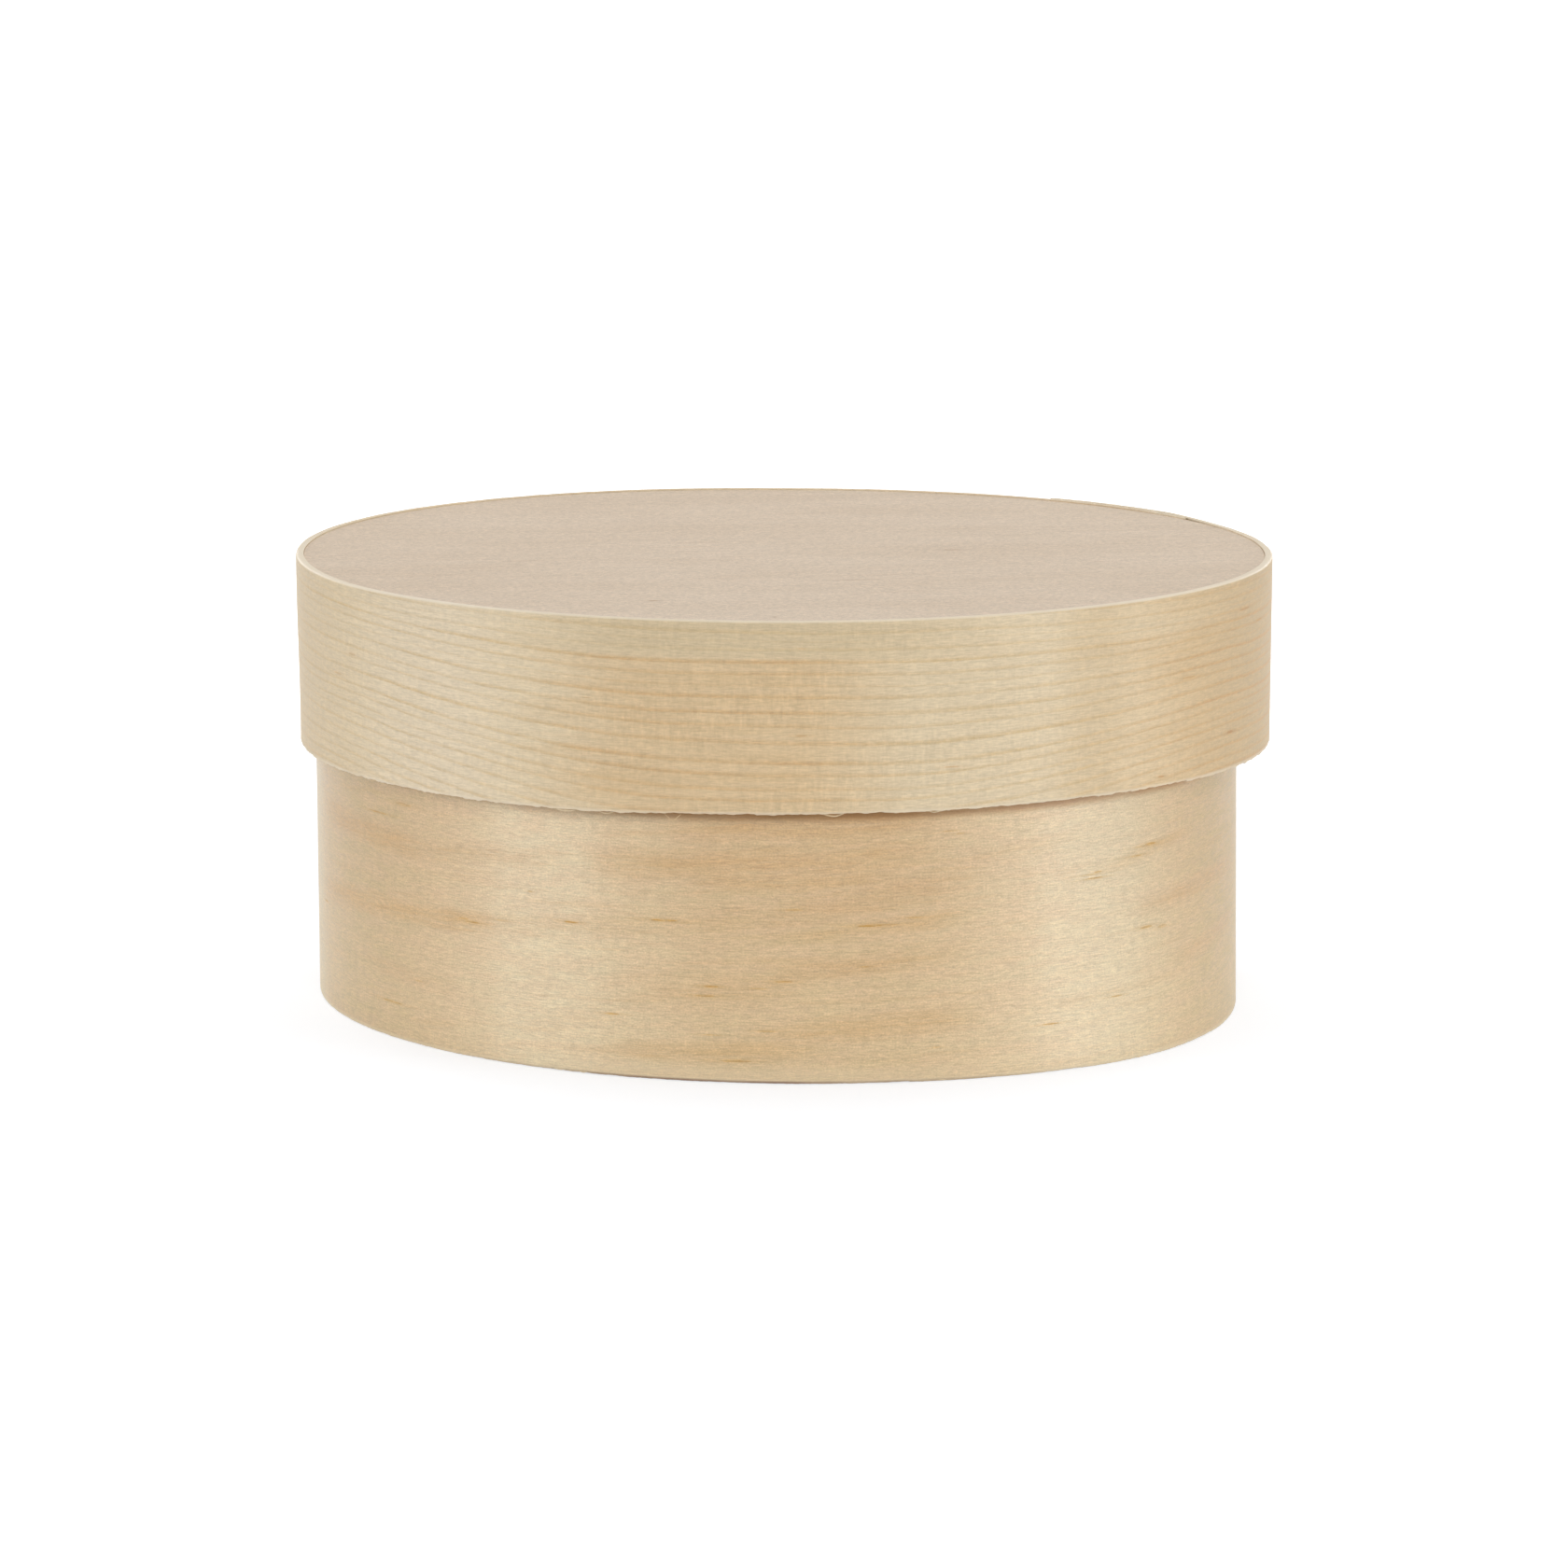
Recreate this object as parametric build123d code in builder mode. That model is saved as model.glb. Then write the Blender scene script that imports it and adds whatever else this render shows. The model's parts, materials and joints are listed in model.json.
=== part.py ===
"""A round cheese box of bent wood with a lift-off lid.

Millimetres, +Z up. The origin is the centre of the body's underside, on the
surface that the box stands on. +X is to the right as the box is looked at
from the front, and +Y is away from the front. The lid is on, and has slid a
little way towards +X within its play.

Each ring is one strip of veneer bent round, with its outer end lapped over
its thinned inner end, and wire staples through the lap. A board closes each
ring, held by a glue line and a bead of glue in the inside corner.
"""

import math
import os

from build123d import *

# Driving dimensions of the closed box
lid_diameter = 152.0
overall_height = 69.5
lid_band_height = 28.6

# Sheets that the pieces are cut from
band_thickness = 1.2
board_thickness = 3.0

# How the boards sit in the rings
rim_proud = 0.25
glue_line = 0.05

# Play of the lid on the body, measured on the radius, and how much of it is taken up
lid_play = 2.55
lid_shift_share = 0.57

# Sanded edges
lid_rim_round = 0.4
foot_round = 0.25
board_edge_bevel = 0.2

# Lapped seam of each ring, with lengths measured along the ring
lap_length = 22.0
climb_length = 20.0
lap_gap = 0.1
skive_start_share = 0.5
lid_seam_angle = 38.0
body_seam_angle = 70.0
climb_steps = 8

# Wire staples through the laps
wire_diameter = 0.7
wire_clearance = 0.03
staple_span = 8.0
clinch_length = 3.0
lid_staple_shares = (0.28, 0.68)
body_staple_shares = (0.2, 0.5, 0.8)

# Beads of dried glue between board and ring
base_bead_leg = 1.0
lid_bead_share = 0.65

# Levels
lid_bottom = overall_height - lid_band_height
lid_board_top = overall_height - rim_proud
lid_board_bottom = lid_board_top - board_thickness
body_band_height = lid_board_bottom

# Radii
lid_inner_radius = lid_diameter / 2 - band_thickness
body_inner_radius = lid_inner_radius - lid_play - band_thickness
lid_board_radius = lid_inner_radius - glue_line
base_board_radius = body_inner_radius - glue_line

# Place of the lid over the body
lid_shift = lid_play * lid_shift_share
lid_bead_leg = (lid_play - lid_shift) * lid_bead_share

# Lap and wire
lap_rise = band_thickness + lap_gap
wire_radius = wire_diameter / 2
bend_radius = wire_radius + wire_clearance
full_turn = math.degrees(2 * math.pi)
quarter_turn = full_turn / 4


def plan_direction(angle):
    """The level unit direction at an angle in degrees from +X."""
    turned = math.radians(angle)
    return (math.cos(turned), math.sin(turned), 0)


def plan_point(radius, angle):
    """A point of a ring's plan, with the angle in degrees."""
    x, y, _ = plan_direction(angle)
    return (radius * x, radius * y)


def climb_angle(inner_radius, share):
    """The angle of a point of the climb, which ends at zero."""
    return math.degrees((share - 1) * climb_length / inner_radius)


def climb_point(inner_radius, side_offset, share):
    """A point of the climb, where share is 0 at its foot and 1 at its head."""
    rise = lap_rise * (3 * share**2 - 2 * share**3)
    return plan_point(
        inner_radius + rise + side_offset, climb_angle(inner_radius, share)
    )


def climb_tangent(inner_radius, share):
    """The direction of the climb at a point, seen in plan."""
    x, y, _ = plan_direction(climb_angle(inner_radius, share))
    outward = lap_rise * 6 * share * (1 - share)
    return (outward * x - climb_length * y, outward * y + climb_length * x)


def climb_curve(inner_radius, side_offset, first_share):
    """One side of the climb as a smooth curve, from first_share to its head."""
    length_share = 1 - first_share
    shares = [
        first_share + length_share * step / climb_steps
        for step in range(climb_steps + 1)
    ]
    points = [climb_point(inner_radius, side_offset, share) for share in shares]
    ends = [climb_tangent(inner_radius, share) for share in (first_share, 1)]
    return Spline(points, tangents=ends)


def strip_outline(inner_radius):
    """The plan of one bent strip, with the head of its climb at local angle zero.

    The strip starts at its thinned tip, runs round, climbs over its own start
    and ends after the lap. A hairline gap stays between the two layers.
    """
    centre = (0, 0)
    outer_radius = inner_radius + band_thickness
    lap_inner_radius = inner_radius + lap_rise
    lap_outer_radius = lap_inner_radius + band_thickness
    foot_angle = climb_angle(inner_radius, 0)
    tip_angle = climb_angle(inner_radius, skive_start_share)
    lap_angle = math.degrees(lap_length / inner_radius)
    skive = climb_curve(inner_radius, -lap_gap, skive_start_share)
    Line(skive @ 0, plan_point(inner_radius, tip_angle))
    CenterArc(centre, inner_radius, tip_angle, full_turn + foot_angle - tip_angle)
    climb_curve(inner_radius, 0, 0)
    CenterArc(centre, lap_inner_radius, 0, lap_angle)
    Line(
        plan_point(lap_inner_radius, lap_angle), plan_point(lap_outer_radius, lap_angle)
    )
    CenterArc(centre, lap_outer_radius, 0, lap_angle)
    climb_curve(inner_radius, band_thickness, 0)
    CenterArc(centre, outer_radius, 0, full_turn + foot_angle)


def plan_plane(shift, level, angle):
    """A level plane on a ring's axis, with local X at an angle."""
    return Plane(
        origin=(shift, 0, level), x_dir=plan_direction(angle), z_dir=(0, 0, 1)
    )


def facing_plane(shift, level, angle):
    """An upright plane on a ring's axis that faces outwards at an angle, Y up."""
    return Plane(
        origin=(shift, 0, level),
        x_dir=plan_direction(angle + quarter_turn),
        z_dir=plan_direction(angle),
    )


def cutting_plane(shift, level, angle):
    """An upright plane through a ring's axis, with local X outwards and Y up."""
    return Plane(
        origin=(shift, 0, level),
        x_dir=plan_direction(angle),
        z_dir=plan_direction(angle - quarter_turn),
    )


def lap_middle(seam_angle, inner_radius):
    """The angle of the middle of a lap, where its staples sit."""
    return seam_angle + math.degrees(lap_length / inner_radius / 2)


def leg_holes(ring_height, shares):
    """Centres of the staple holes of one ring, on a plane that faces the lap."""
    sides = (-staple_span / 2, staple_span / 2)
    return [(0, ring_height * share + side) for share in shares for side in sides]


def outer_edges(ring, level_index):
    """The outer edge of a strip at its top or its foot, found by its radius."""
    arcs = ring.edges().group_by(Axis.Z)[level_index].filter_by(GeomType.CIRCLE)
    return arcs.sort_by(SortBy.RADIUS)[1:2]


def staple_path(inner_radius):
    """The centre line of one clinched staple, on a plane through the ring's axis."""
    inside = inner_radius - wire_clearance - wire_radius
    outside = inner_radius + lap_rise + band_thickness + wire_clearance + wire_radius
    leg = staple_span / 2
    tip = leg - clinch_length
    corners = [
        (inside, -tip),
        (inside, -leg),
        (outside, -leg),
        (outside, leg),
        (inside, leg),
        (inside, tip),
    ]
    return FilletPolyline(*corners, radius=bend_radius)


def sweep_staples(shift, levels, angle, inner_radius):
    """Adds one staple of round wire at each level of a lap."""
    for level in levels:
        with BuildLine(cutting_plane(shift, level, angle)) as route:
            staple_path(inner_radius)
        with BuildSketch(Plane(origin=route.line @ 0, z_dir=route.line % 0)) as end:
            Circle(wire_radius)
        sweep(sections=end.sketch, path=route.line)


def bead_profile(board_radius, leg, side):
    """A glue bead's section: a right triangle on the board's edge, up or down by side."""
    corner = (board_radius, 0)
    Polyline(corner, (board_radius - leg, 0), (board_radius, side * leg), close=True)


# Body's ring, a strip with its lap at the back
body_lap_angle = lap_middle(body_seam_angle, body_inner_radius)
with BuildPart() as body_band:
    with BuildSketch(plan_plane(0, 0, body_seam_angle)):
        with BuildLine():
            strip_outline(body_inner_radius)
        make_face()
    extrude(amount=body_band_height)
    fillet(outer_edges(body_band, 0), radius=foot_round)
    with BuildSketch(facing_plane(0, 0, body_lap_angle)):
        with Locations(*leg_holes(body_band_height, body_staple_shares)):
            Circle(wire_radius + wire_clearance)
    extrude(amount=lid_diameter, mode=Mode.SUBTRACT)

# Lid's ring, a shallower and wider strip
lid_lap_angle = lap_middle(lid_seam_angle, lid_inner_radius)
with BuildPart() as lid_band:
    with BuildSketch(plan_plane(lid_shift, lid_bottom, lid_seam_angle)):
        with BuildLine():
            strip_outline(lid_inner_radius)
        make_face()
    extrude(amount=lid_band_height)
    fillet(outer_edges(lid_band, -1), radius=lid_rim_round)
    with BuildSketch(facing_plane(lid_shift, lid_bottom, lid_lap_angle)):
        with Locations(*leg_holes(lid_band_height, lid_staple_shares)):
            Circle(wire_radius + wire_clearance)
    extrude(amount=lid_diameter, mode=Mode.SUBTRACT)

# Base board, flush with the foot of the body's ring
with BuildPart() as base_board:
    with BuildSketch(Plane.XY):
        Circle(base_board_radius)
    extrude(amount=board_thickness)
    chamfer(base_board.edges().group_by(Axis.Z)[0], length=board_edge_bevel)

# Lid board, a hair below the rim of the lid's ring
with BuildPart() as lid_top_board:
    with BuildSketch(plan_plane(lid_shift, lid_board_bottom, 0)):
        Circle(lid_board_radius)
    extrude(amount=board_thickness)
    chamfer(lid_top_board.edges().group_by(Axis.Z)[-1], length=board_edge_bevel)

# Glue bead on the base board
with BuildPart() as base_glue_bead:
    with BuildSketch(cutting_plane(0, board_thickness, 0)):
        with BuildLine():
            bead_profile(base_board_radius, base_bead_leg, 1)
        make_face()
    revolve(axis=Axis.Z)

# Glue bead under the lid board
with BuildPart() as lid_glue_bead:
    with BuildSketch(cutting_plane(lid_shift, lid_board_bottom, 0)):
        with BuildLine():
            bead_profile(lid_board_radius, lid_bead_leg, -1)
        make_face()
    revolve(axis=Axis((lid_shift, 0, 0), (0, 0, 1)))

# Staples of the body's lap
body_staple_levels = [body_band_height * share for share in body_staple_shares]
with BuildPart() as body_seam_staples:
    sweep_staples(0, body_staple_levels, body_lap_angle, body_inner_radius)

# Staples of the lid's lap
lid_staple_levels = [lid_bottom + lid_band_height * share for share in lid_staple_shares]
with BuildPart() as lid_seam_staples:
    sweep_staples(lid_shift, lid_staple_levels, lid_lap_angle, lid_inner_radius)

# Files, one for each node
pieces = {
    "base_board": base_board,
    "body_band": body_band,
    "base_glue_bead": base_glue_bead,
    "body_seam_staples": body_seam_staples,
    "lid_top_board": lid_top_board,
    "lid_band": lid_band,
    "lid_glue_bead": lid_glue_bead,
    "lid_seam_staples": lid_seam_staples,
}
os.makedirs("parts", exist_ok=True)
for name, piece in pieces.items():
    piece.part.label = name
    export_step(piece.part, f"parts/{name}.step")
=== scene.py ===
"""The looks of a round cheese box of bent wood with a lift-off lid.

Metres, in the frame's own axes: +Z up, +X to the right and +Y away from the
front. Each ring is one strip of veneer, lapped over its own start at the back.
"""

import json
import math

import bpy
from mathutils import Matrix, Vector
from mathutils import noise as field


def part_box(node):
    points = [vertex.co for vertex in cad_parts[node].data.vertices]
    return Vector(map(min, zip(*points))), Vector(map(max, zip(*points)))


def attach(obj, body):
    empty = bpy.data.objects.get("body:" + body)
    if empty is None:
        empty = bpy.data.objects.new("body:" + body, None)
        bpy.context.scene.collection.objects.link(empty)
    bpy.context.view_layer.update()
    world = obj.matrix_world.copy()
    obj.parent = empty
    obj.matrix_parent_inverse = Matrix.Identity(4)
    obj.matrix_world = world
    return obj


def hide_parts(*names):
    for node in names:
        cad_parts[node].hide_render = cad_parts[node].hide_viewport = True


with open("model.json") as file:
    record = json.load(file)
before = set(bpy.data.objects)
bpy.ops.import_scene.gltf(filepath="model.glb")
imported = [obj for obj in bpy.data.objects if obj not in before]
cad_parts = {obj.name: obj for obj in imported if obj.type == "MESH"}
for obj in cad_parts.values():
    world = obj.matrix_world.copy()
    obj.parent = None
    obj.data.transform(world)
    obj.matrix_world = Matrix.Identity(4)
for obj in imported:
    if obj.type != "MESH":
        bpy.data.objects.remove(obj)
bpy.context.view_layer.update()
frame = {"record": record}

MM = 0.001
FULL_TURN = 2 * math.pi

# Sizes of the sheets and laps, as the frame has them
LID_DIAMETER = 152 * MM
BAND_THICKNESS = 1.2 * MM
LID_PLAY = 2.55 * MM
GLUE_LINE = 0.05 * MM
LAP_LENGTH = 22 * MM
CLIMB_LENGTH = 20 * MM
LAP_GAP = 0.1 * MM
LAP_RISE = BAND_THICKNESS + LAP_GAP
WIRE_RADIUS = 0.35 * MM
WIRE_CLEARANCE = 0.03 * MM
STAPLE_HALF_SPAN = 4 * MM
CLINCH_LENGTH = 3 * MM
LID_STAPLE_SHARES = (0.28, 0.68)
BODY_STAPLE_SHARES = (0.2, 0.5, 0.8)
LID_SEAM_ANGLE = math.radians(38)
BODY_SEAM_ANGLE = math.radians(70)

# Camera, solved from the curves of the two rings in the photograph
IMAGE_SIDE = 1680
FOCAL_PIXELS = 7434
SENSOR = 36
CAMERA_PITCH = math.radians(9.8)
CAMERA_ROLL = math.radians(0.3)
CAMERA_DISTANCE = 1.0883
CAMERA_TARGET = Vector((1.62 * MM, 0, 32.46 * MM))
VIEW_DIRECTION = Vector((0, math.cos(CAMERA_PITCH), -math.sin(CAMERA_PITCH)))
VIEW_UP = Vector((0, math.sin(CAMERA_PITCH), math.cos(CAMERA_PITCH)))
PICTURE_RIGHT = Vector((math.cos(CAMERA_ROLL), 0, 0)) + VIEW_UP * math.sin(CAMERA_ROLL)
PICTURE_DOWN = Vector((math.sin(CAMERA_ROLL), 0, 0)) - VIEW_UP * math.cos(CAMERA_ROLL)
CAMERA_PLACE = CAMERA_TARGET - VIEW_DIRECTION * CAMERA_DISTANCE

# Hand-made departures from the true round, seen in the photograph
OVAL_SHARE = 0.02
OVAL_ANGLE = math.radians(-49)
OVAL_BACK_SHARE = 0.4
OVAL_TOP_SHARE = 0.55
BODY_SIZE_SHARE = 0.998
BODY_SHIFT = 0.15 * MM
FOOT_LEAN = 0.5 * MM
FOOT_FLARE_SHARE = 0.027
FOOT_FLARE_ANGLE = math.radians(-43)
FOOT_FLARE_REACH = math.radians(40)
TOP_TILT = math.tan(CAMERA_ROLL)
LID_TAPER = 0.6 * MM
LID_WARP = 0.55 * MM
LID_WARP_ANGLE = math.radians(150)
LID_LEFT_DIP = 0.45 * MM
LID_RIGHT_DIP = 0.38 * MM
LID_FRONT_DIP = 0.15 * MM
SHEET_WAVE = 0.09 * MM

# Direction of the grain in the two boards
LID_GRAIN_ANGLE = math.radians(8)
BASE_GRAIN_ANGLE = math.radians(-20)

# Steps of the meshes
COLUMN_STEP = 0.42 * MM
FACE_ROWS = 22
ROUND_STEPS = 4
BOARD_COLUMNS = 480
SMALL_BEVEL = 0.05 * MM
LID_BOARD_BEVEL = 0.07 * MM
BASE_BOARD_BEVEL = 0.2 * MM
BOARD_RINGS = 14
BEAD_COLUMNS = 600
BEAD_STEPS = 6
WIRE_SIDES = 14
AIM_STEPS = 5


def eased(share):
    """0 to 1, level at both ends, and held there beyond them."""
    share = min(max(share, 0), 1)
    return 3 * share**2 - 2 * share**3


def wrapped(angle):
    """The same turn, between half a turn back and half a turn on."""
    return (angle + math.pi) % FULL_TURN - math.pi


def rough(x, y=0.0, z=0.0):
    """Smooth noise between about -1 and 1."""
    return field.noise(Vector((x, y, z)))


class Ring:
    """One bent strip: its place, its radii and its seam."""

    def __init__(self, node, centre_x, inner_radius, seam_angle, seed):
        low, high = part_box(node)
        self.node = node
        self.centre_x = centre_x
        self.inner_radius = inner_radius
        self.outer_radius = inner_radius + BAND_THICKNESS
        self.bottom = low.z
        self.top = high.z
        self.height = high.z - low.z
        self.seam_angle = seam_angle
        self.seed = seed
        self.climb = CLIMB_LENGTH / inner_radius
        self.lap = LAP_LENGTH / inner_radius

    def sides(self, angle):
        """Inner and outer radius of the strip, with zero at the head of its climb."""
        inner = self.inner_radius
        outer = self.outer_radius
        if angle < 0:
            outer = inner + LAP_RISE * eased(1 + angle / self.climb) - LAP_GAP
        elif angle > FULL_TURN - self.climb:
            rise = LAP_RISE * eased(1 + (angle - FULL_TURN) / self.climb)
            inner += rise
            outer += rise
        return inner, outer


mounts = {mount["name"]: mount for mount in frame["record"]["mounts"]}
lid_centre = Vector(mounts["lid_face"]["pos_m"])
lid_inner_radius = LID_DIAMETER / 2 - BAND_THICKNESS
body_inner_radius = lid_inner_radius - LID_PLAY - BAND_THICKNESS
lid_ring = Ring("lid_band", lid_centre.x, lid_inner_radius, LID_SEAM_ANGLE, 3.7)
body_ring = Ring("body_band", 0, body_inner_radius, BODY_SEAM_ANGLE, 11.3)


def lid_dip(angle):
    """How far the lid's lower edge dips below its place, most of all on the left."""
    x = math.cos(angle)
    left = eased((-x - 0.1) / 0.3)
    right = eased((x - 0.6) / 0.4)
    return LID_FRONT_DIP + LID_LEFT_DIP * left + LID_RIGHT_DIP * right


def lid_shape(radius, angle, height):
    """A point of the lid: a little tilted, its back left edge up and its left foot leaning in."""
    down = (lid_ring.top - height) / lid_ring.height
    left = max(0, -math.cos(angle))
    out = radius / lid_ring.outer_radius
    warp = LID_WARP * max(0, math.cos(1.5 * wrapped(angle - LID_WARP_ANGLE))) * out**2
    radius -= LID_TAPER * left**2 * eased(down)
    radius += SHEET_WAVE * rough(angle * 2.2, height * 18, lid_ring.seed)
    x, y = radius * math.cos(angle), radius * math.sin(angle)
    rise = TOP_TILT * x + warp * (1 - down) - lid_dip(angle) * max(0, down)**3
    return Vector((lid_ring.centre_x + x, y, height + rise))


def body_shape(radius, angle, height):
    """A point of the body, which is a little oval and leans with its foot to the right."""
    covered = eased((height - lid_ring.bottom) / (body_ring.top - lid_ring.bottom))
    share = OVAL_SHARE * (1 - covered * (1 - OVAL_TOP_SHARE))
    share *= 1 - (1 - OVAL_BACK_SHARE) * eased(math.sin(angle) * 2)
    radius *= 1 + share * math.cos(2 * (angle - OVAL_ANGLE))
    down = 1 - height / body_ring.top
    flare = eased(1 - abs(wrapped(angle - FOOT_FLARE_ANGLE)) / FOOT_FLARE_REACH)
    radius *= BODY_SIZE_SHARE + FOOT_FLARE_SHARE * flare * max(0, down)**3
    radius += SHEET_WAVE * rough(angle * 2.2, height * 18, body_ring.seed)
    lean = BODY_SHIFT + FOOT_LEAN * max(0, 1 - height / lid_ring.bottom)
    x, y = radius * math.cos(angle), radius * math.sin(angle)
    return Vector((lean + x, y, height + TOP_TILT * x * (1 - down)))


def pixel_ray(pixel):
    """The direction from the camera through a pixel of the photograph."""
    right = (pixel[0] - IMAGE_SIDE / 2) / FOCAL_PIXELS
    down = (pixel[1] - IMAGE_SIDE / 2) / FOCAL_PIXELS
    return VIEW_DIRECTION + PICTURE_RIGHT * right + PICTURE_DOWN * down


def pixel_of(place):
    """The pixel of the photograph that shows a place."""
    away = place - CAMERA_PLACE
    scale = FOCAL_PIXELS / away.dot(VIEW_DIRECTION)
    middle = IMAGE_SIDE / 2
    return Vector((middle + away.dot(PICTURE_RIGHT) * scale, middle + away.dot(PICTURE_DOWN) * scale))


def seen_on_ring(pixel, ring, shape):
    """The angle and height on a ring's outer face that a pixel shows, found in a few steps."""
    aim = Vector(pixel)
    for _ in range(AIM_STEPS):
        angle, height = met_on_round(aim, ring)
        aim += Vector(pixel) - pixel_of(shape(ring.outer_radius, angle, height))
    return angle, height


def met_on_round(pixel, ring):
    """The angle and height where a pixel's ray meets a true round ring."""
    ray = pixel_ray(pixel)
    start = CAMERA_PLACE - Vector((ring.centre_x, 0, 0))
    a = ray.x**2 + ray.y**2
    b = start.x * ray.x + start.y * ray.y
    c = start.x**2 + start.y**2 - ring.outer_radius**2
    reach = (-b - math.sqrt(max(0, b * b - a * c))) / a
    place = start + ray * reach
    return math.atan2(place.y, place.x), place.z


def seen_on_board(pixel):
    """The place on the lid's board that a pixel shows, along and across its grain, in millimetres."""
    ray = pixel_ray(pixel)
    _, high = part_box("lid_top_board")
    place = CAMERA_PLACE + ray * ((high.z - CAMERA_PLACE.z) / ray.z)
    x, y = (place.x - lid_ring.centre_x) / MM, place.y / MM
    turn = -LID_GRAIN_ANGLE
    return x * math.cos(turn) - y * math.sin(turn), x * math.sin(turn) + y * math.cos(turn)


def along_strip(ring, angle):
    """Length along a ring's strip, in millimetres, from its seam to an angle of the frame."""
    turn = (angle - ring.seam_angle) % FULL_TURN
    return turn * ring.inner_radius / MM


# Meshes


def add_piece(name, points, faces, grain, body, material, replaced=()):
    """A mesh piece on a body, with each point's place in its wood kept for the material."""
    mesh = bpy.data.meshes.new(name)
    mesh.from_pydata([tuple(p) for p in points], [], faces)
    attribute = mesh.attributes.new("grain", "FLOAT_VECTOR", "POINT")
    attribute.data.foreach_set("vector", [value for place in grain for value in place])
    mesh.shade_smooth()
    mesh.set_sharp_from_angle(angle=math.radians(40))
    mesh.materials.append(material)
    mesh.validate()
    mesh.update()
    piece = bpy.data.objects.new(name, mesh)
    bpy.context.scene.collection.objects.link(piece)
    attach(piece, body)
    if replaced:
        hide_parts(*replaced)
    return piece


def corner(radius, height, size, start):
    """The points of one rounded corner, from a start direction through a quarter turn."""
    turns = [start + math.pi / 2 * step / ROUND_STEPS for step in range(ROUND_STEPS + 1)]
    return [(radius + size * math.cos(t), height + size * math.sin(t)) for t in turns]


def strip_section(inner, outer, low, high, rounds):
    """A strip's section, from its inner foot out, up, over and down again."""
    foot_in, foot_out, rim_out, rim_in = rounds
    foot_inner = corner(inner + foot_in, low + foot_in, foot_in, math.pi)
    foot_outer = corner(outer - foot_out, low + foot_out, foot_out, 1.5 * math.pi)
    rim_outer = corner(outer - rim_out, high - rim_out, rim_out, 0)
    rim_inner = corner(inner + rim_in, high - rim_in, rim_in, 0.5 * math.pi)
    points = foot_inner + foot_outer
    points += between(foot_outer[-1], rim_outer[0])
    points += rim_outer + rim_inner
    points += between(rim_inner[-1], foot_inner[0])
    return points


def between(start, end):
    """Points on a face from one corner to the next, closer together near the corners."""
    points = []
    for row in range(1, FACE_ROWS):
        share = (1 - math.cos(math.pi * row / FACE_ROWS)) / 2
        share = 0.6 * row / FACE_ROWS + 0.4 * share
        points.append([start[i] + (end[i] - start[i]) * share for i in (0, 1)])
    return points


def ragged(ring, angle, seed):
    """How far a cut edge stands off its line, from 0 to 1: waves, fray and splintered steps."""
    arc = angle * ring.inner_radius / MM
    slow = 0.5 + 0.5 * rough(arc / 23, seed)
    fray = 0.5 + 0.6 * rough(arc / 1.7, seed + 5) + 0.8 * rough(arc / 0.7, seed + 9)
    run = arc / 11 + 1.1 * rough(arc / 17, seed + 12)
    drop = abs(rough(math.floor(run) * 7.7, seed + 14))
    step = (run - math.floor(run)) * drop * 1.6
    return min(max(0.35 * slow + 0.32 * fray + 0.5 * step, 0), 1)


def strip_piece(ring, shape, edges, body, material):
    """A bent strip with worn and ragged edges, closed at both ends."""
    start = -ring.climb / 2
    end = FULL_TURN + ring.lap
    columns = round((end - start) * ring.inner_radius / COLUMN_STEP)
    points, faces, grain = [], [], []
    count = 0
    for column in range(columns + 1):
        angle = start + (end - start) * column / columns
        inner, outer = ring.sides(angle)
        low = ring.bottom + edges["fray_low"] * ragged(ring, angle, ring.seed)
        high = ring.top - edges["fray_high"] * ragged(ring, angle, ring.seed + 40)
        wear = 1 + 0.35 * rough(angle * 9, ring.seed)
        rounds = [size * wear for size in edges["rounds"]]
        limit = 0.45 * (outer - inner)
        section = strip_section(inner, outer, low, high, [min(size, limit) for size in rounds])
        count = len(section)
        for radius, height in section:
            points.append(shape(radius, ring.seam_angle + angle, height))
            deep = (radius - inner) / MM
            grain.append((angle * ring.inner_radius / MM, (height - ring.bottom) / MM, deep))
        if column:
            here, before = column * count, (column - 1) * count
            for i in range(count):
                j = (i + 1) % count
                faces.append((before + i, here + i, here + j, before + j))
    faces.append(tuple(range(count)))
    faces.append(tuple(reversed(range(columns * count, (columns + 1) * count))))
    return add_piece(ring.node, points, faces, grain, body, material, (ring.node,))


# Materials


def linear(red, green, blue):
    """A colour read as 8-bit sRGB, as linear values with full alpha."""
    values = [v / 255 for v in (red, green, blue)]
    return [v / 12.92 if v <= 0.04045 else ((v + 0.055) / 1.055) ** 2.4 for v in values] + [1.0]


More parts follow.
